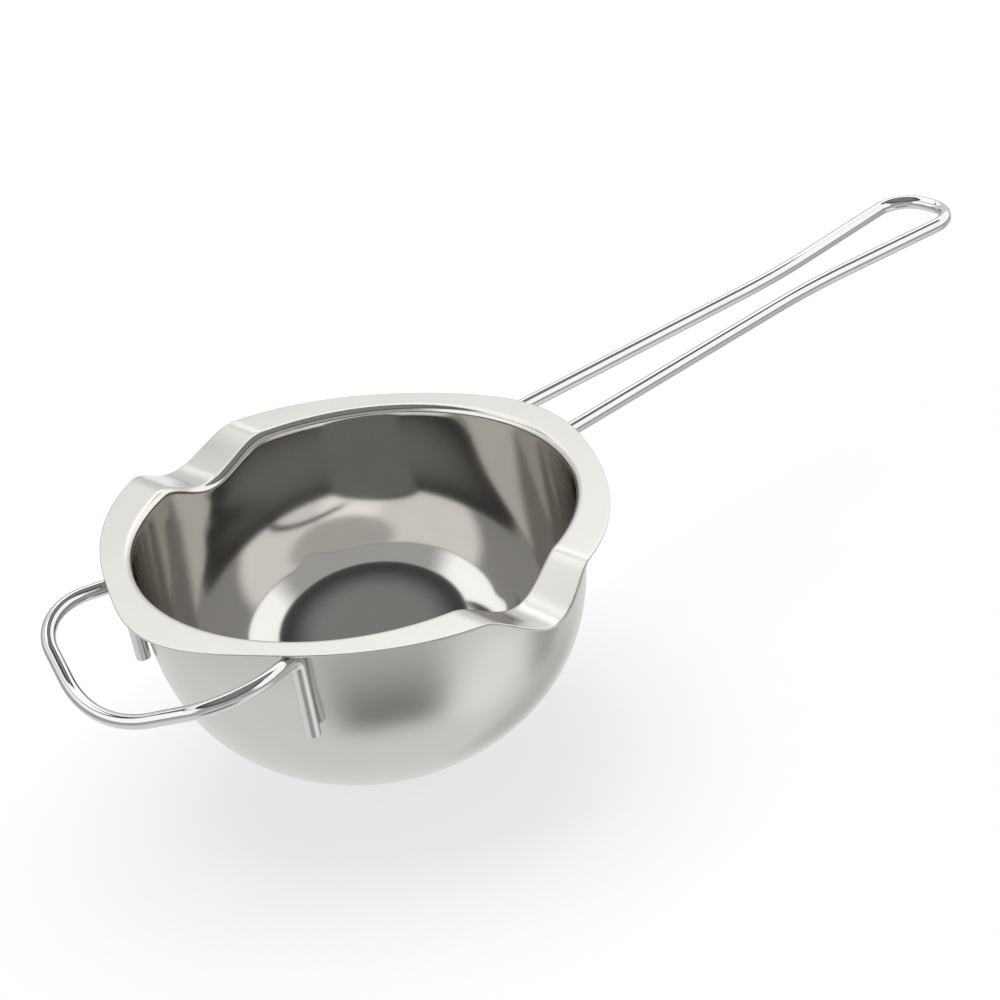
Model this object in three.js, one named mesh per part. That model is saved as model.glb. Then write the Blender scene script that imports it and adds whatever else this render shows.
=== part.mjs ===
import * as THREE from 'three';
import { mergeVertices } from 'three/addons/utils/BufferGeometryUtils.js';

// A melting pot: a thin bowl with two pouring spouts, a long wire handle and a wire support handle.
// Sizes are in millimetres. The origin is the centre of the flat base and +Z is up. The long
// handle runs along +X, the support handle along -X, and the spouts face +Y and -Y.

// Bowl, deep drawn from one sheet of stainless steel
const sheet = 0.7;               // thickness of the sheet
const rimHeight = 66.5;          // table to the top of the flange
const baseRadius = 30;           // where the wall would meet the table
const baseBlend = 1.5;           // size of the rounding around the base
const wallRadius = 61.8;         // outside of the wall at the flange
const wallUpright = 3.2;         // power: how long the wall stays upright on the way down
const wallFullness = 1.785;      // power: how full the wall is where it turns in to the base
const bendRadius = 1.2;          // upper side of the bend from wall to flange
const flangeRadius = 69.2;       // flange edge at its narrowest places
const spoutSwell = 6.2;          // extra radius of the flange edge at the spouts
const supportSwell = 4;          // extra radius of the flange edge at the support handle
const longSwell = 2.2;           // extra radius of the flange edge at the long handle
const narrowAngle = 60;          // degrees from a spout to the narrowest place

// Spouts, pressed down into the flange
const spoutDepth = 7.7;          // flange to the floor of the spout at the wall
const spoutFall = 0.6;           // further fall of the floor on its way to the lip
const spoutHalfWidth = 17.5;     // middle of the spout to its corner
const spoutLip = 2.1;            // how far the lip reaches past the flange edge
const spoutBlend = 24;           // depth below the rim down to which the wall is drawn along

// Wire of both handles
const wireDiameter = 4.2;
const seatGap = 0.3;             // clearance where the wire is welded to the sheet
const legDepth = 28.5;           // rim to the tip of each welded leg
const legBend = 3.6;             // bend of the wire's centre line from arm to leg

// Support handle
const supportLegAngle = 33.6;    // degrees between each leg and -X, seen from above
const supportReach = 79.9;       // pot axis to the corner of the arm
const supportHalfSpan = 41.8;    // half the distance between the arms' corners
const supportRise = 1.7;         // how far the arm climbs from the flange edge to its corner
const supportBend = 18;          // bend at the corner
const bowReach = 96.7;           // pot axis to the point where both sides of the bow would meet
const bowDrop = 11.9;            // how far that point hangs below the arms
const bowBend = 38.3;            // bend across the bow

// Long handle
const longDrop = 4.9;            // rim to the wire's centre line at the wall
const longHalfSpan = 11.5;       // half the distance between the wires at the wall
const longSlope = 2.4;           // degrees the handle hangs down
const neckReach = 178;           // pot axis to the neck
const neckHalfSpan = 7.05;       // half the distance between the wires at the neck
const neckBend = 248;            // wide bend at the neck
const endReach = 240.9;          // pot axis to the end bar
const endHalfSpan = 12.35;       // half the distance between the corners of the end loop
const endBend = 9.9;             // bend at those corners

// Fineness of the mesh
const aroundSteps = 88;
const wallSteps = 11;
const wireSides = 16;

const wireRadius = wireDiameter / 2;
const degrees = Math.PI / 180;

// The wall follows a rounded curve that passes through the rim and the edge of the base.
const baseShare = (1 - (baseRadius / wallRadius) ** wallFullness) ** (1 / wallUpright);
const wallReach = rimHeight / baseShare;

function wallAt(height) {
  const share = (rimHeight - height) / wallReach;
  return wallRadius * (1 - share ** wallUpright) ** (1 / wallFullness);
}

// Closes a geometry into one body that faces outwards.
function closed(geometry) {
  geometry.deleteAttribute('normal');
  geometry.deleteAttribute('uv');
  const merged = mergeVertices(geometry, 1e-4);
  const index = merged.index.array;
  const point = merged.attributes.position;
  const kept = [];
  let volume = 0;
  for (let i = 0; i < index.length; i += 3) {
    const [a, b, c] = index.slice(i, i + 3);
    if (a === b || b === c || c === a) continue;
    kept.push(a, b, c);
    const corner = [a, b, c].map((k) => new THREE.Vector3().fromBufferAttribute(point, k));
    volume += corner[0].dot(corner[1].cross(corner[2]));
  }
  if (volume < 0) kept.reverse();
  merged.setIndex(kept);
  merged.computeVertexNormals();
  return merged;
}

// Outside of the sheet from the centre of the base to the top of the wall.
function outsideProfile() {
  const wallTop = rimHeight - bendRadius;
  const points = [new THREE.Vector2(0, 0)];
  const rounding = new THREE.QuadraticBezierCurve(
    new THREE.Vector2(baseRadius - baseBlend, 0),
    new THREE.Vector2(baseRadius, 0),
    new THREE.Vector2(wallAt(baseBlend), baseBlend),
  );
  points.push(...rounding.getPoints(3));
  const turn = 1.15;
  for (let k = wallSteps - 1; k >= 0; k--) {
    const share = Math.sin((turn * k) / wallSteps) / Math.sin(turn);
    const height = wallTop - (wallTop - baseBlend) * share;
    points.push(new THREE.Vector2(wallAt(height), height));
  }
  return points;
}

// Inside of the sheet: the same points moved in by its thickness.
function insideProfile(outside) {
  return outside.map((point, k) => {
    const before = outside[Math.max(k - 1, 0)];
    const after = outside[Math.min(k + 1, outside.length - 1)];
    const along = after.clone().sub(before).normalize();
    const onAxis = k === 0;
    const atTop = k === outside.length - 1;
    if (onAxis) return new THREE.Vector2(0, sheet);
    if (atTop) return new THREE.Vector2(point.x - sheet, point.y);
    return new THREE.Vector2(point.x - along.y * sheet, point.y + along.x * sheet);
  });
}

// Points on a quarter bend about a centre, from the wall over to the flange.
function quarterBend(centre, radius, steps) {
  const points = [];
  for (let k = 1; k <= steps; k++) {
    const angle = Math.PI - (Math.PI / 2) * (k / steps);
    points.push(new THREE.Vector2(centre.x + radius * Math.cos(angle), centre.y + radius * Math.sin(angle)));
  }
  return points;
}

const bendCentre = new THREE.Vector2(wallRadius - sheet + bendRadius, rimHeight - bendRadius);

// Share of the way across the flange, from the bend to the edge.
function flangeShare(radius) {
  return THREE.MathUtils.clamp((radius - bendCentre.x) / (flangeRadius - bendCentre.x), 0, 1);
}

// Cross section of a pressed spout: 1 along its middle, 0 at its corners and beyond.
function spoutShape(sideways) {
  const share = Math.min(Math.abs(sideways) / spoutHalfWidth, 1);
  return (1 - share * share) ** 1.5;
}

// A rounded hump: 1 at the middle, falling to 0 at a share of 1 and beyond.
function hump(share) {
  return Math.cos((Math.PI / 2) * Math.min(share, 1)) ** 2;
}

// Extra radius of the flange edge, by the angle from the -Y spout towards +X.
function edgeSwell(angle) {
  const fromSpout = Math.acos(Math.abs(Math.cos(angle))) / degrees;
  const handleSwell = Math.sin(angle) > 0 ? longSwell : supportSwell;
  const atHandle = hump((90 - fromSpout) / (90 - narrowAngle));
  return spoutSwell * hump(fromSpout / narrowAngle) + handleSwell * atHandle;
}

// Presses the spouts into the turned bowl and gives the flange edge its outline.
function pressSpouts(geometry) {
  const point = geometry.attributes.position;
  for (let k = 0; k < point.count; k++) {
    const turned = new THREE.Vector3().fromBufferAttribute(point, k);
    let radius = Math.hypot(turned.x, turned.y);
    const even = Math.atan2(turned.x, -turned.y);
    const angle = even - 0.25 * Math.sin(2 * even);
    const across = flangeShare(radius);
    const lip = spoutLip * spoutShape(radius * Math.sin(angle));
    radius += across * (edgeSwell(angle) + lip);
    const sideways = radius * Math.sin(angle);
    const below = rimHeight - bendRadius - turned.z;
    const drawn = THREE.MathUtils.clamp(1 - below / (spoutBlend - bendRadius), 0, 1);
    const depth = drawn * (spoutDepth + spoutFall * across);
    point.setXYZ(k, sideways, -radius * Math.cos(angle), turned.z - depth * spoutShape(sideways));
  }
}

function makeBowl() {
  const outside = outsideProfile();
  const inside = insideProfile(outside);
  const flangeSteps = [1 / 3, 2 / 3, 1];
  const across = (share) => THREE.MathUtils.lerp(bendCentre.x, flangeRadius, share);
  const profile = [
    ...outside,
    ...quarterBend(bendCentre, bendRadius - sheet, 3),
    ...flangeSteps.map((share) => new THREE.Vector2(across(share), rimHeight - sheet)),
    ...flangeSteps.map((share) => new THREE.Vector2(across(share), rimHeight)).reverse(),
    ...quarterBend(bendCentre, bendRadius, 4).reverse(),
    ...inside.reverse(),
  ];
  const bowl = new THREE.LatheGeometry(profile, aroundSteps);
  bowl.rotateX(Math.PI / 2);
  pressSpouts(bowl);
  return closed(bowl);
}

// Centre line of a bent wire: straight runs between corners, each corner rounded by an arc.
class BentWire extends THREE.Curve {
  constructor(corners) {
    super();
    this.stations = [corners[0].at];
    for (let k = 1; k < corners.length - 1; k++) {
      this.addBend(corners[k - 1].at, corners[k], corners[k + 1].at);
    }
    this.stations.push(corners[corners.length - 1].at);
  }

  addBend(before, corner, after) {
    const back = before.clone().sub(corner.at).normalize();
    const ahead = after.clone().sub(corner.at).normalize();
    const half = back.angleTo(ahead) / 2;
    const inward = back.clone().add(ahead).normalize();
    const centre = corner.at.clone().addScaledVector(inward, corner.bend / Math.sin(half));
    const run = corner.bend / Math.tan(half);
    const start = corner.at.clone().addScaledVector(back, run).sub(centre);
    const end = corner.at.clone().addScaledVector(ahead, run).sub(centre);
    const turn = Math.PI - 2 * half;
    for (let k = 0; k <= corner.steps; k++) {
      const angle = (turn * k) / corner.steps;
      const place = centre.clone();
      place.addScaledVector(start, Math.sin(turn - angle) / Math.sin(turn));
      place.addScaledVector(end, Math.sin(angle) / Math.sin(turn));
      this.stations.push(place);
    }
  }

  getPoint(t, target = new THREE.Vector3()) {
    const place = t * (this.stations.length - 1);
    const k = Math.min(Math.floor(place), this.stations.length - 2);
    return target.lerpVectors(this.stations[k], this.stations[k + 1], place - k);
  }

  // Sections stand at the stations, not at equal lengths.
  getUtoTmapping(u) {
    return u;
  }
}

// A wire given by the corners of its one half, mirrored to the other side of the pot.
function makeWire(half) {
  const mirror = new THREE.Vector3(1, -1, 1);
  const other = half.map((corner) => ({ ...corner, at: corner.at.clone().multiply(mirror) }));
  const joint = half[half.length - 1].at.y === 0 ? other.slice(0, -1) : other;
  const path = new BentWire([...half, ...joint.reverse()]);
  const round = new THREE.Shape().absarc(0, 0, wireRadius, 0, 2 * Math.PI);
  const wire = new THREE.ExtrudeGeometry(round, {
    steps: path.stations.length - 1,
    curveSegments: wireSides / 2,
    extrudePath: path,
    bevelEnabled: false,
  });
  return closed(wire);
}

// A welded leg lies along the wall: its line touches the wall half way down, a seat gap off.
function legPoint(angle, height) {
  const middle = rimHeight - legDepth / 2;
  const lean = (wallAt(middle + 1) - wallAt(middle - 1)) / 2;
  const radius = wallAt(middle) + seatGap + wireRadius + lean * (height - middle);
  return new THREE.Vector3(radius * Math.cos(angle), radius * Math.sin(angle), height);
}

function makeSupport() {
  const arm = rimHeight - sheet - seatGap - wireRadius;
  const angle = Math.PI - supportLegAngle * degrees;
  const edge = flangeRadius + edgeSwell(-supportLegAngle * degrees - Math.PI / 2);
  const covered = edge - wallRadius - seatGap - wireRadius;
  const open = Math.hypot(supportReach, supportHalfSpan) - edge;
  return makeWire([
    { at: legPoint(angle, rimHeight - legDepth) },
    { at: legPoint(angle, arm - (supportRise * covered) / open), bend: legBend, steps: 6 },
    { at: new THREE.Vector3(-supportReach, supportHalfSpan, arm + supportRise), bend: supportBend, steps: 8 },
    { at: new THREE.Vector3(-bowReach, 0, arm - bowDrop), bend: bowBend, steps: 12 },
  ]);
}

function makeLong() {
  const arm = rimHeight - longDrop;
  const angle = Math.asin(longHalfSpan / (wallRadius + seatGap + wireRadius));
  const fall = Math.tan(longSlope * degrees);
  const level = (reach) => arm - (reach - wallRadius) * fall;
  return makeWire([
    { at: legPoint(angle, rimHeight - legDepth) },
    { at: legPoint(angle, arm), bend: legBend, steps: 6 },
    { at: new THREE.Vector3(neckReach, neckHalfSpan, level(neckReach)), bend: neckBend, steps: 5 },
    { at: new THREE.Vector3(endReach, endHalfSpan, level(endReach)), bend: endBend, steps: 8 },
  ]);
}

function piece(name, geometry, color, roughness) {
  const material = new THREE.MeshStandardMaterial({ color, roughness, metalness: 1 });
  const mesh = new THREE.Mesh(geometry, material);
  mesh.name = name;
  return mesh;
}

const pot = new THREE.Group();
pot.name = 'melting_pot';
pot.add(piece('bowl', makeBowl(), 0xc9c7c3, 0.38));
pot.add(piece('long_handle', makeLong(), 0xd4d3d1, 0.12));
pot.add(piece('support_handle', makeSupport(), 0xd4d3d1, 0.12));

export default pot;
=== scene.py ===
import math

import bpy
from mathutils import Matrix, Vector


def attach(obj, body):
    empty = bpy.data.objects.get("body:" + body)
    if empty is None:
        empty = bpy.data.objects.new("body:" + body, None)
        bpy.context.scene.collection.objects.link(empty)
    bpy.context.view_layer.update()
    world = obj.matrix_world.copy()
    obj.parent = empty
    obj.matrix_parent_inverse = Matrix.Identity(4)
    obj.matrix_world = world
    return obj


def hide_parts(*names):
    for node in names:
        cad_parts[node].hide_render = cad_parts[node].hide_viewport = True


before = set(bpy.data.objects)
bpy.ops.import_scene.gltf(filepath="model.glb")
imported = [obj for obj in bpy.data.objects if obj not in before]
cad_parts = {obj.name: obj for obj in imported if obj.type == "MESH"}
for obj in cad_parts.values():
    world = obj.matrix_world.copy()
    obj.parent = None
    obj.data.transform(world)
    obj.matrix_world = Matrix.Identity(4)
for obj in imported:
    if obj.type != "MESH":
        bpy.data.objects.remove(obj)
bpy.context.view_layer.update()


# Bowl. One round of thin stainless steel, deep drawn to a full belly on a small flat base. The edge
# is turned out into a flange, and two pouring spouts are pressed down into it. The outside and the
# flange are satin, and the inside is polished bright.
mm = 0.001
bowl_sizes = {
    "Sheet": 0.7 * mm,
    "Rim Height": 66.5 * mm,
    "Base Radius": 30 * mm,
    "Base Blend": 1.5 * mm,
    "Wall Radius": 61.8 * mm,
    "Wall Upright": 3.2,
    "Wall Fullness": 1.785,
    "Bend Radius": 2 * mm,
    "Flange Radius": 69.2 * mm,
    "Spout Swell": 6.2 * mm,
    "Support Swell": 4 * mm,
    "Long Swell": 2.2 * mm,
    "Narrow Angle": math.radians(60),
    "Spout Depth": 7.7 * mm,
    "Spout Fall": 0.6 * mm,
    "Spout Half Width": 19.6 * mm,
    "Spout Lip": 2.1 * mm,
    "Spout Blend": 24 * mm,
}
bowl_steps = {"Steps Along": 101, "Steps Around": 289}
rim_round = 0.2 * mm
sewing_reach = 0.002 * mm


class Measure:
    """A number inside a node tree, so that a rule of the shape can be written as a formula."""

    def __init__(self, tree, socket):
        self.tree = tree
        self.socket = socket

    def work(self, operation, *others):
        node = self.tree.nodes.new("ShaderNodeMath")
        node.operation = operation
        for place, value in zip(node.inputs, (self, *others)):
            if isinstance(value, Measure):
                self.tree.links.new(value.socket, place)
            else:
                place.default_value = value
        return Measure(self.tree, node.outputs[0])

    def __add__(self, other):
        return self.work("ADD", other)

    def __sub__(self, other):
        return self.work("SUBTRACT", other)

    def __mul__(self, other):
        return self.work("MULTIPLY", other)

    def __truediv__(self, other):
        return self.work("DIVIDE", other)

    def __pow__(self, other):
        return self.work("POWER", other)

    def less_from(self, whole):
        """The rest of a whole once this is taken off."""
        return (self * -1).work("ADD", whole)

    def between(self, low, high):
        return self.work("MAXIMUM", low).work("MINIMUM", high)


def new_tree(name, sizes, *kinds):
    """A geometry tree with a named input for each size, and its inputs as measures."""
    tree = bpy.data.node_groups.new(name, "GeometryNodeTree")
    tree.is_modifier = True
    tree.interface.new_socket("Geometry", in_out="OUTPUT", socket_type="NodeSocketGeometry")
    for label, kind in kinds:
        tree.interface.new_socket(label, in_out="INPUT", socket_type=kind)
    for label in sizes:
        tree.interface.new_socket(label, in_out="INPUT", socket_type="NodeSocketFloat")
    entry = tree.nodes.new("NodeGroupInput")
    return tree, entry, {label: Measure(tree, entry.outputs[label]) for label in sizes}


def fill(tree, place, value):
    """Links a socket or a measure to a place on a node, and sets any other value there."""
    if isinstance(value, Measure):
        value = value.socket
    if isinstance(value, bpy.types.NodeSocket):
        tree.links.new(value, place)
    else:
        place.default_value = value


def step(tree, kind, mode=None, **given):
    """One node of a tree, with each given value filled in."""
    node = tree.nodes.new(kind)
    if mode:
        node.mode = mode
    for label, value in given.items():
        fill(tree, node.inputs[label.replace("_", " ")], value)
    return node


def note(tree, mesh, name, value, domain="POINT"):
    """Keeps a measure on the mesh under a name, for the material to read."""
    node = step(tree, "GeometryNodeStoreNamedAttribute", Geometry=mesh, Name=name)
    node.data_type = "FLOAT"
    node.domain = domain
    fill(tree, next(slot for slot in node.inputs if slot.name == "Value" and slot.enabled), value)
    return node.outputs["Geometry"]


def close_tree(tree, mesh, entry):
    """The end of a tree: one real, smooth mesh with its material."""
    smooth = step(tree, "GeometryNodeSetShadeSmooth", Geometry=mesh)
    real = step(tree, "GeometryNodeRealizeInstances", Geometry=smooth.outputs[0])
    dressed = step(tree, "GeometryNodeSetMaterial", Geometry=real.outputs[0],
                   Material=entry.outputs["Material"])
    step(tree, "NodeGroupOutput", Geometry=dressed.outputs[0])


def made_piece(name, start, tree, settings, edge_round):
    """Runs a tree on a start mesh, rounds its cut edges, and keeps the result as a plain mesh."""
    piece = bpy.data.objects.new(name, start)
    bpy.context.scene.collection.objects.link(piece)
    made = piece.modifiers.new("made", "NODES")
    made.node_group = tree
    for item in tree.interface.items_tree:
        if item.in_out == "INPUT" and item.name in settings:
            made[item.identifier] = settings[item.name]
    rounding = piece.modifiers.new("cut edges", "BEVEL")
    rounding.limit_method = "ANGLE"
    rounding.angle_limit = math.radians(55)
    rounding.width = edge_round
    rounding.segments = 3
    graph = bpy.context.evaluated_depsgraph_get()
    mesh = bpy.data.meshes.new_from_object(piece.evaluated_get(graph))
    piece.modifiers.clear()
    piece.data = mesh
    mesh.name = name
    return piece


bowl_tree, bowl_entry, size = new_tree(
    "drawn_bowl", bowl_sizes, ("Steps Along", "NodeSocketInt"), ("Steps Around", "NodeSocketInt"),
    ("Material", "NodeSocketMaterial"))

blank = step(bowl_tree, "GeometryNodeMeshGrid", Size_X=1.0, Size_Y=1.0,
             Vertices_X=bowl_entry.outputs["Steps Along"], Vertices_Y=bowl_entry.outputs["Steps Around"])
flat_place = step(bowl_tree, "ShaderNodeSeparateXYZ",
                  Vector=step(bowl_tree, "GeometryNodeInputPosition").outputs[0])
along = Measure(bowl_tree, flat_place.outputs["X"]) + 0.5
even = (Measure(bowl_tree, flat_place.outputs["Y"]) + 0.5) * (2 * math.pi)


def stretch(start, end):
    """Share of one stretch of the profile: 0 up to its start and 1 from its end on."""
    return ((along - start) / (end - start)).between(0, 1)


# Where the profile passes from base to blend, wall, bend and flange, as shares of its steps.
base_end, blend_end, wall_end, bend_end = 0.1, 0.18, 0.72, 0.82
base_run = stretch(0, base_end)
blend_run = stretch(base_end, blend_end)
wall_run = stretch(blend_end, wall_end)
bend_run = stretch(wall_end, bend_end)
flange_run = stretch(bend_end, 1)

fullness, upright = size["Wall Fullness"], size["Wall Upright"]
base_share = (((size["Base Radius"] / size["Wall Radius"]) ** fullness).less_from(1)
              ** (upright ** -1))
wall_reach = size["Rim Height"] / base_share


def wall_at(height):
    """Radius of the outside of the wall at a height."""
    down = (size["Rim Height"] - height) / wall_reach
    return size["Wall Radius"] * ((down.between(0, 1) ** upright).less_from(1) ** (fullness ** -1))


wall_top = size["Rim Height"] - size["Bend Radius"]
flat_edge = size["Base Radius"] - size["Base Blend"]
wall_foot = wall_at(size["Base Blend"])
wall_turn = 1.15  # spaces the rings evenly along the curve of the wall
fall_share = (wall_run.less_from(1) * wall_turn).work("SINE") / math.sin(wall_turn)
wall_height = wall_top - (wall_top - size["Base Blend"]) * fall_share
under_bend = size["Bend Radius"] - size["Sheet"]
bend_turn = bend_run * (math.pi / 2)
bend_centre = size["Wall Radius"] - size["Sheet"] + size["Bend Radius"]

radius = (base_run * flat_edge
          + (blend_run.less_from(1) * blend_run * 2) * size["Base Blend"]
          + (blend_run ** 2) * (wall_foot - flat_edge)
          + (wall_at(wall_height) - wall_foot)
          + bend_turn.work("COSINE").less_from(1) * under_bend
          + flange_run * (size["Flange Radius"] - bend_centre))
height = ((blend_run ** 2) * size["Base Blend"]
          + (wall_height - size["Base Blend"])
          + bend_turn.work("SINE") * under_bend)

crowding = 0.25  # draws the steps together at the spouts
angle = even - (even * 2).work("SINE") * crowding


def hump(share):
    """A rounded hump: 1 at the middle, falling to 0 at a share of 1 and beyond."""
    return (share.between(0, 1) * (math.pi / 2)).work("COSINE") ** 2


def spout_shape(sideways):
    """Cross section of a pressed spout: 1 along its middle, 0 at its corners and beyond."""
    share = (sideways.work("ABSOLUTE") / size["Spout Half Width"]).between(0, 1)
    return (share ** 2).less_from(1) ** 2


from_spout = angle.work("COSINE").work("ABSOLUTE").between(0, 1).work("ARCCOSINE")
long_side = angle.work("SINE").work("GREATER_THAN", 0)
handle_swell = long_side * size["Long Swell"] + long_side.less_from(1) * size["Support Swell"]
from_handle = from_spout.less_from(math.pi / 2) / size["Narrow Angle"].less_from(math.pi / 2)
edge_swell = (hump(from_spout / size["Narrow Angle"]) * size["Spout Swell"]
              + hump(from_handle) * handle_swell)
lip = spout_shape(radius * angle.work("SINE")) * size["Spout Lip"]
pressed_radius = radius + flange_run * (edge_swell + lip)
sideways = pressed_radius * angle.work("SINE")
below = (wall_top - height) / (size["Spout Blend"] - size["Bend Radius"])
drawn = below.less_from(1).between(0, 1)
drawn = drawn * drawn * (drawn * 2).less_from(3)
depth = drawn * (size["Spout Depth"] + flange_run * size["Spout Fall"])
place = step(bowl_tree, "ShaderNodeCombineXYZ", X=sideways,
             Y=pressed_radius * angle.work("COSINE") * -1,
             Z=height - depth * spout_shape(sideways))

# The blank is closed into a round and thickened inwards, and its two faces are sewn together.
mesh = note(bowl_tree, blank.outputs["Mesh"], "bend_run", bend_run)
mesh = note(bowl_tree, mesh, "inside", 0.0, "FACE")
formed = step(bowl_tree, "GeometryNodeSetPosition", Geometry=mesh, Position=place.outputs[0])
closed = step(bowl_tree, "GeometryNodeMergeByDistance", Geometry=formed.outputs[0], Distance=sewing_reach)
outside = step(bowl_tree, "GeometryNodeFlipFaces", Mesh=closed.outputs[0])
thick = step(bowl_tree, "GeometryNodeExtrudeMesh", Mesh=outside.outputs[0],
             Offset_Scale=size["Sheet"] * -1, Individual=False)
inner = note(bowl_tree, thick.outputs["Mesh"], "inside", 1.0, "FACE")
inner = step(bowl_tree, "GeometryNodeFlipFaces", Mesh=inner)
both = bowl_tree.nodes.new("GeometryNodeJoinGeometry")
bowl_tree.links.new(outside.outputs[0], both.inputs[0])
bowl_tree.links.new(inner.outputs[0], both.inputs[0])
sewn = step(bowl_tree, "GeometryNodeMergeByDistance", Geometry=both.outputs[0], Distance=sewing_reach)
close_tree(bowl_tree, sewn.outputs[0], bowl_entry)


# Steel as it is handled: faint cloudy wear in the finish, and fine marks left by the tool.
steel_marks = bpy.data.node_groups.new("steel_marks", "ShaderNodeTree")
for label, kind in (("Place", "NodeSocketVector"), ("Cloud Size", "NodeSocketFloat"),
                    ("Mark Place", "NodeSocketVector"), ("Mark Size", "NodeSocketFloat")):
    steel_marks.interface.new_socket(label, in_out="INPUT", socket_type=kind)
for label in ("Cloud", "Marks"):
    steel_marks.interface.new_socket(label, in_out="OUTPUT", socket_type="NodeSocketFloat")
marks_entry = steel_marks.nodes.new("NodeGroupInput")
cloud = step(steel_marks, "ShaderNodeTexNoise", Vector=marks_entry.outputs["Place"],
             Scale=Measure(steel_marks, marks_entry.outputs["Cloud Size"]) ** -1, Detail=3.0)
fine = step(steel_marks, "ShaderNodeTexNoise", Vector=marks_entry.outputs["Mark Place"],
            Scale=Measure(steel_marks, marks_entry.outputs["Mark Size"]) ** -1, Detail=2.0)
step(steel_marks, "NodeGroupOutput", Cloud=cloud.outputs[0], Marks=fine.outputs[0])


def new_metal(name):
    """A material with its bare metal shader, and its object coordinates."""
    material = bpy.data.materials.new(name)
    material.use_nodes = True
    tree = material.node_tree
    tree.nodes.clear()
    shader = step(tree, "ShaderNodeBsdfPrincipled", Metallic=1.0)
    step(tree, "ShaderNodeOutputMaterial", Surface=shader.outputs[0])
    return material, tree, shader, tree.nodes.new("ShaderNodeTexCoord").outputs["Object"]


def kept(tree, name):
    """A measure that was noted on the mesh."""
    node = tree.nodes.new("ShaderNodeAttribute")
    node.attribute_name = name
    return Measure(tree, node.outputs["Fac"])


def marks_on(tree, place, cloud_size, mark_place, mark_size):
    """The cloud and the marks of the steel, as measures from 0 to 1."""
    node = tree.nodes.new("ShaderNodeGroup")
    node.node_tree = steel_marks
    for label, value in (("Place", place), ("Cloud Size", cloud_size),
                         ("Mark Place", mark_place), ("Mark Size", mark_size)):
        fill(tree, node.inputs[label], value)
    return Measure(tree, node.outputs["Cloud"]), Measure(tree, node.outputs["Marks"])


def tinted(tree, share, low, high):
    """A colour between two, by a share."""
    node = step(tree, "ShaderNodeMix", Factor=share)
    node.data_type = "RGBA"
    colours = [slot for slot in node.inputs if slot.type == "RGBA"]
    colours[0].default_value = (*low, 1)
    colours[1].default_value = (*high, 1)
    return next(slot for slot in node.outputs if slot.type == "RGBA")


def finish_metal(tree, shader, colour, rough, marks):
    """Gives a metal shader its colour and roughness, and its marks as a shallow bump."""
    grain = step(tree, "ShaderNodeBump", Height=marks, Strength=mark_strength, Distance=mark_depth)
    fill(tree, shader.inputs["Base Color"], colour)
    fill(tree, shader.inputs["Roughness"], rough)
    fill(tree, shader.inputs["Normal"], grain.outputs[0])


mark_strength, mark_depth = 0.03, 0.02 * mm
bowl_dull, bowl_clear = (0.605, 0.592, 0.566), (0.665, 0.652, 0.624)
satin_rough, satin_cloud, satin_grain = 0.2, 0.05, 0.05
bright_rough, bright_cloud = 0.065, 0.03
bowl_cloud_size, turning_width = 22 * mm, 0.12 * mm
turning_length = 0.0004  # how little the turned grain changes along its rings

bowl_steel, tree, shader, place = new_metal("bowl_steel")
parts = step(tree, "ShaderNodeSeparateXYZ", Vector=place)
x, y, z = (Measure(tree, parts.outputs[axis]) for axis in "XYZ")
turned = step(tree, "ShaderNodeCombineXYZ", X=(x ** 2 + y ** 2) ** 0.5, Y=z,
              Z=x.work("ARCTAN2", y) * turning_length)
cloud, turning = marks_on(tree, place, bowl_cloud_size, turned.outputs[0], turning_width)
inner_wall = kept(tree, "inside") * kept(tree, "bend_run").less_from(1)
satin_share = inner_wall.less_from(1)
satin = cloud * satin_cloud + turning * satin_grain + satin_rough
bright = cloud * bright_cloud + bright_rough
finish_metal(tree, shader, tinted(tree, cloud, bowl_dull, bowl_clear),
             satin * satin_share + bright * inner_wall, turning * satin_share)

bowl = made_piece("bowl_sheet", bpy.data.meshes.new("bowl_start"), bowl_tree,
                  {**bowl_sizes, **bowl_steps, "Material": bowl_steel}, rim_round)
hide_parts("bowl")
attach(bowl, "root")


# Long handle. One length of drawn stainless wire, polished bright, bent to a long loop that narrows
# to a neck and opens to a rounded end for a hook. Both ends are bent down and welded to the wall.
wire_sizes = {"Wire Diameter": 4.2 * mm}
wire_steps = {"Bend Steps": 20, "Sides": 40}
wire_end_round = 0.5 * mm
leg_depth, leg_bend, seat_gap = 28.5 * mm, 3.6 * mm, 0.3 * mm
long_drop, long_half_span, long_slope = 4.9 * mm, 11.5 * mm, math.radians(2.4)
neck_reach, neck_half_span, neck_bend = 178 * mm, 7.05 * mm, 248 * mm
end_reach, end_half_span, end_bend = 240.9 * mm, 12.35 * mm, 9.9 * mm

rim_height, wall_radius = bowl_sizes["Rim Height"], bowl_sizes["Wall Radius"]
wire_radius = wire_sizes["Wire Diameter"] / 2


def wall_radius_at(height):
    """The same wall as the bowl's tree draws, for the legs that lie along it."""
    fullness, upright = bowl_sizes["Wall Fullness"], bowl_sizes["Wall Upright"]
    share = (1 - (bowl_sizes["Base Radius"] / wall_radius) ** fullness) ** (1 / upright)
    return wall_radius * (1 - ((rim_height - height) / rim_height * share) ** upright) ** (1 / fullness)


def leg_point(angle, height):
    """A point on a welded leg, whose line touches the wall half way down, a seat gap off."""
    middle = rim_height - leg_depth / 2
    lean = (wall_radius_at(middle + mm) - wall_radius_at(middle - mm)) / (2 * mm)
    out = wall_radius_at(middle) + seat_gap + wire_radius + lean * (height - middle)
    return Vector((out * math.cos(angle), out * math.sin(angle), height))


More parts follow.
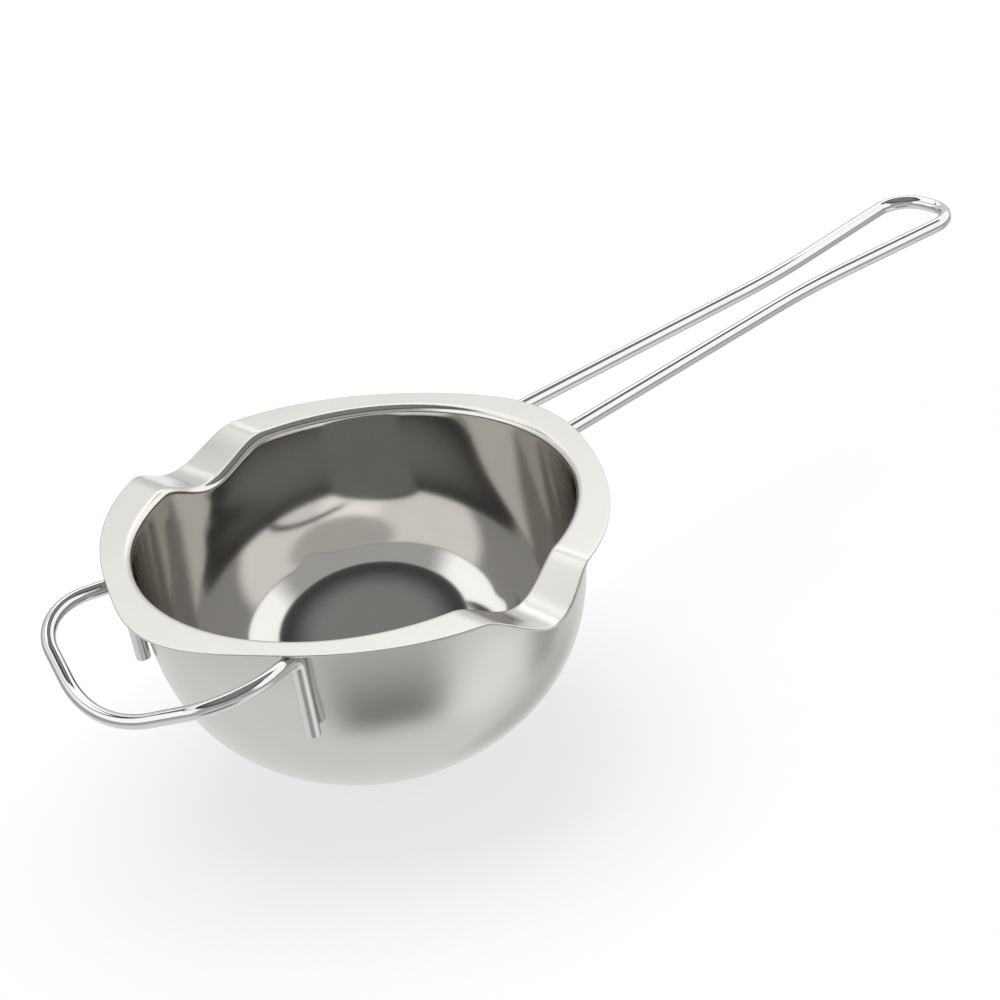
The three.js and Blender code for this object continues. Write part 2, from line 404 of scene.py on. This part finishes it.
def wire_path(name, half):
    """A start mesh through the corners of a wire's one half and its mirror half, with their bends."""
    other = [(Vector((at.x, -at.y, at.z)), bend) for at, bend in reversed(half) if at.y != 0]
    corners = half + other
    path = bpy.data.meshes.new(name)
    path.from_pydata([at for at, bend in corners], [(k, k + 1) for k in range(len(corners) - 1)], [])
    bends = path.attributes.new("bend", "FLOAT", "POINT")
    for k, (at, bend) in enumerate(corners):
        bends.data[k].value = bend
    return path


wire_tree, wire_entry, size = new_tree(
    "bent_wire", wire_sizes, ("Path", "NodeSocketGeometry"), ("Bend Steps", "NodeSocketInt"),
    ("Sides", "NodeSocketInt"), ("Material", "NodeSocketMaterial"))
line = step(wire_tree, "GeometryNodeMeshToCurve", Mesh=wire_entry.outputs["Path"])
bend_here = step(wire_tree, "GeometryNodeInputNamedAttribute", Name="bend")
bent = step(wire_tree, "GeometryNodeFilletCurve", "POLY", Curve=line.outputs[0],
            Count=wire_entry.outputs["Bend Steps"], Radius=bend_here.outputs["Attribute"])
run = step(wire_tree, "GeometryNodeSplineParameter")
drawn_line = note(wire_tree, bent.outputs[0], "wire_along", run.outputs["Length"])
section = step(wire_tree, "GeometryNodeCurvePrimitiveCircle", Resolution=wire_entry.outputs["Sides"],
               Radius=size["Wire Diameter"] / 2)
turn_share = step(wire_tree, "GeometryNodeSplineParameter")
round_line = note(wire_tree, section.outputs[0], "wire_around", turn_share.outputs["Factor"])
tube = step(wire_tree, "GeometryNodeCurveToMesh", Curve=drawn_line, Profile_Curve=round_line,
            Fill_Caps=True)
close_tree(wire_tree, tube.outputs[0], wire_entry)

wire_dull, wire_clear = (0.62, 0.61, 0.60), (0.68, 0.675, 0.665)
wire_rough, wire_cloud, wire_grain = 0.03, 0.05, 0.04
wire_cloud_size, drawing_width = 15 * mm, 0.35 * mm
drawing_length = 0.04  # how little the drawn lines change along the wire


def wire_material(name):
    """Bright drawn wire: mirror polish with faint lines along its length."""
    material, tree, shader, place = new_metal(name)
    around = kept(tree, "wire_around") * (2 * math.pi)
    lines = step(tree, "ShaderNodeCombineXYZ", X=kept(tree, "wire_along") * drawing_length,
                 Y=around.work("SINE") * wire_radius, Z=around.work("COSINE") * wire_radius)
    cloud, drawing = marks_on(tree, place, wire_cloud_size, lines.outputs[0], drawing_width)
    finish_metal(tree, shader, tinted(tree, cloud, wire_dull, wire_clear),
                 cloud * wire_cloud + drawing * wire_grain + wire_rough, drawing)
    return material


def wire_level(reach):
    """Height of the long handle's sloping plane at a reach."""
    return rim_height - long_drop - (reach - wall_radius) * math.tan(long_slope)


long_angle = math.asin(long_half_span / (wall_radius + seat_gap + wire_radius))
long_path = wire_path("long_handle_path", [
    (leg_point(long_angle, rim_height - leg_depth), 0),
    (leg_point(long_angle, rim_height - long_drop), leg_bend),
    (Vector((neck_reach, neck_half_span, wire_level(neck_reach))), neck_bend),
    (Vector((end_reach, end_half_span, wire_level(end_reach))), end_bend),
])
long_steel = wire_material("long_handle_steel")
long_handle = made_piece("long_handle_wire", long_path, wire_tree,
                         {**wire_sizes, **wire_steps, "Material": long_steel}, wire_end_round)
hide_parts("long_handle")
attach(long_handle, "root")


# Support handle. A short loop of the same bright wire that hooks over a saucepan's rim. Its arms leave
# the wall under the flange, spread to rounded corners and hang down across the bow.
support_leg_angle = math.radians(33.6)
support_reach, support_half_span, support_rise, support_bend = 79.9 * mm, 41.8 * mm, 1.7 * mm, 18 * mm
bow_reach, bow_drop, bow_bend = 96.7 * mm, 11.9 * mm, 38.3 * mm


def swell_share(share):
    """The same rounded hump as the bowl's tree gives the flange."""
    return math.cos(math.pi / 2 * min(share, 1)) ** 2


narrow_angle = bowl_sizes["Narrow Angle"]
support_share = swell_share(support_leg_angle / (math.pi / 2 - narrow_angle))
spout_share = swell_share((math.pi / 2 - support_leg_angle) / narrow_angle)
flange_edge = (bowl_sizes["Flange Radius"] + bowl_sizes["Support Swell"] * support_share
               + bowl_sizes["Spout Swell"] * spout_share)
arm_level = rim_height - bowl_sizes["Sheet"] - seat_gap - wire_radius
covered = flange_edge - wall_radius - seat_gap - wire_radius
clear = math.hypot(support_reach, support_half_span) - flange_edge
support_path = wire_path("support_handle_path", [
    (leg_point(math.pi - support_leg_angle, rim_height - leg_depth), 0),
    (leg_point(math.pi - support_leg_angle, arm_level - support_rise * covered / clear), leg_bend),
    (Vector((-support_reach, support_half_span, arm_level + support_rise)), support_bend),
    (Vector((-bow_reach, 0, arm_level - bow_drop)), bow_bend),
])
support_steel = wire_material("support_handle_steel")
support_handle = made_piece("support_handle_wire", support_path, wire_tree,
                            {**wire_sizes, **wire_steps, "Material": support_steel}, wire_end_round)
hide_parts("support_handle")
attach(support_handle, "root")


# Floor. A plain white sheet that the pot stands on. It keeps the pot's soft shadow, and the steel
# mirrors the studio's table in its place.
floor_reach = 6
floor_tone = 0.9
white_share = 0.66
floor_mesh = bpy.data.meshes.new("floor")
floor_corners = [(a * floor_reach, b * floor_reach, 0) for a, b in ((-1, -1), (1, -1), (1, 1), (-1, 1))]
floor_mesh.from_pydata(floor_corners, [], [(0, 1, 2, 3)])
floor = bpy.data.objects.new("floor", floor_mesh)
bpy.context.scene.collection.objects.link(floor)
floor_white = bpy.data.materials.new("floor_white")
floor_white.use_nodes = True
tree = floor_white.node_tree
tree.nodes.clear()
matte = step(tree, "ShaderNodeBsdfDiffuse", Color=(floor_tone, floor_tone, floor_tone, 1))
glow = step(tree, "ShaderNodeEmission", Color=(1, 1, 1, 1), Strength=1.0)
ray = tree.nodes.new("ShaderNodeLightPath")
mixed = step(tree, "ShaderNodeMixShader", Fac=Measure(tree, ray.outputs["Is Camera Ray"]) * white_share)
tree.links.new(matte.outputs[0], mixed.inputs[1])
tree.links.new(glow.outputs[0], mixed.inputs[2])
step(tree, "ShaderNodeOutputMaterial", Surface=mixed.outputs[0])
floor_mesh.materials.append(floor_white)
floor.visible_glossy = False


# Studio. A white light tent round a white table, which the steel mirrors. Its walls are bright, with a
# window at the back, and its roof is dim. The table has a dark seam at its edge and is shaded on the
# camera's side. One lamp above lights the floor alone.
studio = bpy.data.worlds.new("studio")
bpy.context.scene.world = studio
studio.use_nodes = True
tree = studio.node_tree
tree.nodes.clear()
aim = tree.nodes.new("ShaderNodeTexCoord").outputs["Generated"]
parts = step(tree, "ShaderNodeSeparateXYZ", Vector=aim)
x, y, z = (Measure(tree, parts.outputs[axis]) for axis in "XYZ")
nearly_nothing = 1e-6
level_out = (x * x + y * y + nearly_nothing) ** 0.5


def rising(value, start, end):
    """0 up to a start and 1 from an end on, with a smooth rise between them."""
    share = ((value - start) / (end - start)).between(0, 1)
    return share * share * (share * 2).less_from(3)


def within(nearness, full, gone):
    """1 inside one angle from a direction, falling to 0 at another, by the cosine of the angle to it."""
    return rising(nearness, math.cos(math.radians(gone)), math.cos(math.radians(full)))


def patch(azimuth, elevation, full, gone):
    """A round patch of the tent. The azimuth counts from -Y towards +X, and all are in degrees."""
    a, e = math.radians(azimuth), math.radians(elevation)
    nearness = x * (math.sin(a) * math.cos(e)) + y * (-math.cos(a) * math.cos(e)) + z * math.sin(e)
    return within(nearness, full, gone)


def side(azimuth, full, gone):
    """The part of the tent, at any height, that lies to one side."""
    a = math.radians(azimuth)
    return within((x * math.sin(a) - y * math.cos(a)) / level_out, full, gone)


def above(start, end):
    """The part of the tent above an elevation, rising from 0 at the start to 1 at the end."""
    return rising(z, math.sin(math.radians(start)), math.sin(math.radians(end)))


def blended(share, low, high):
    """One tone where the share is 0, and another where it is 1."""
    return share * high + share.less_from(1) * low


camera_side, far_side, seam_side = -37, 128, 162
roof, roof_rim, walls, low_wall, window = 0.28, 0.07, 1.43, 0.86, 1.86
table, far_table, lit_far_table, seam_tone = 0.9, 0.52, 1.15, 0.15
shade_foot, shade_head, camera_wall = 0.2, 0.76, 0.5

side_roof, hoop = (96, 71), (-165, 68)
cover = patch(camera_side, 75, 43.5, 45).work("MAXIMUM", patch(*side_roof, 27, 28.3))
cover_middle = patch(camera_side, 75, 22, 40).work("MAXIMUM", patch(*side_roof, 20, 27))
hoop_band = patch(*hoop, 33, 34.5) * patch(*hoop, 28, 29.5).less_from(1)
cover = cover.work("MAXIMUM", hoop_band * above(42, 52).less_from(1))
back_wall = blended(patch(143, 44, 16, 32), walls, window)
back_wall = blended(patch(160, -50, 78, 86), back_wall, low_wall)
upper = blended(cover, back_wall, blended(cover_middle, roof_rim, roof))

far_tone = blended(side(far_side, 25, 42), far_table, lit_far_table)
lower = blended(above(-34, -20), table, far_tone)
tent = blended(above(-1, 1), lower, upper)

shade = side(camera_side, 16, 44) * above(-61.6, -53.1) * above(0, 5.7).less_from(1)
tent = blended(shade, tent, blended(above(-48.6, -23.6), shade_foot, shade_head))
opening = side(camera_side, 40, 60) * above(0, 5.7) * cover.less_from(1)
tent = blended(opening, tent, camera_wall)
for table_patch, tone in (((26, -46, 6, 22), 1.12), ((100, -53, 6, 20), 0.62), ((68, -40, 4, 12), 0.42)):
    tent = blended(patch(*table_patch), tent, tone)

seam = above(-2.5, -1) * above(1, 2.5).less_from(1)
back_seam = above(-2, 0) * above(9, 12).less_from(1) * side(seam_side, 10, 20)
tent = blended(seam.work("MAXIMUM", back_seam), tent, seam_tone)

ray = tree.nodes.new("ShaderNodeLightPath")
level = blended(Measure(tree, ray.outputs["Is Camera Ray"]), tent, 1)
air = step(tree, "ShaderNodeBackground", Color=(1, 1, 1, 1), Strength=level)
step(tree, "ShaderNodeOutputWorld", Surface=air.outputs[0])

lamp_place = Vector((0.25, 0.3, 1.3))
lamp = bpy.data.lights.new("box_above", "AREA")
lamp.shape = "DISK"
lamp.size = 1.2
lamp.energy = 12
box_above = bpy.data.objects.new("box_above", lamp)
box_above.location = lamp_place
box_above.rotation_euler = lamp_place.to_track_quat("Z", "Y").to_euler()
box_above.visible_camera = False
box_above.visible_glossy = False
bpy.context.scene.collection.objects.link(box_above)


# Camera. It is fitted to the photograph: a long lens on the support handle's side, from above and a
# little tilted.
turn, rise, tilt = math.radians(-39.632), math.radians(29.318), math.radians(-9.835)
camera_place = Vector((-0.57399, -0.75621, 0.59665))
camera = bpy.data.objects.new("camera", bpy.data.cameras.new("camera"))
bpy.context.scene.collection.objects.link(camera)
camera.data.sensor_width = 36
camera.data.lens = 144
camera.matrix_world = (Matrix.Translation(camera_place) @ Matrix.Rotation(turn, 4, "Z")
                       @ Matrix.Rotation(math.pi / 2 - rise, 4, "X") @ Matrix.Rotation(tilt, 4, "Z"))
bpy.context.scene.camera = camera
bpy.context.scene.cycles.glossy_bounces = 12
bpy.context.scene.view_settings.view_transform = "Standard"
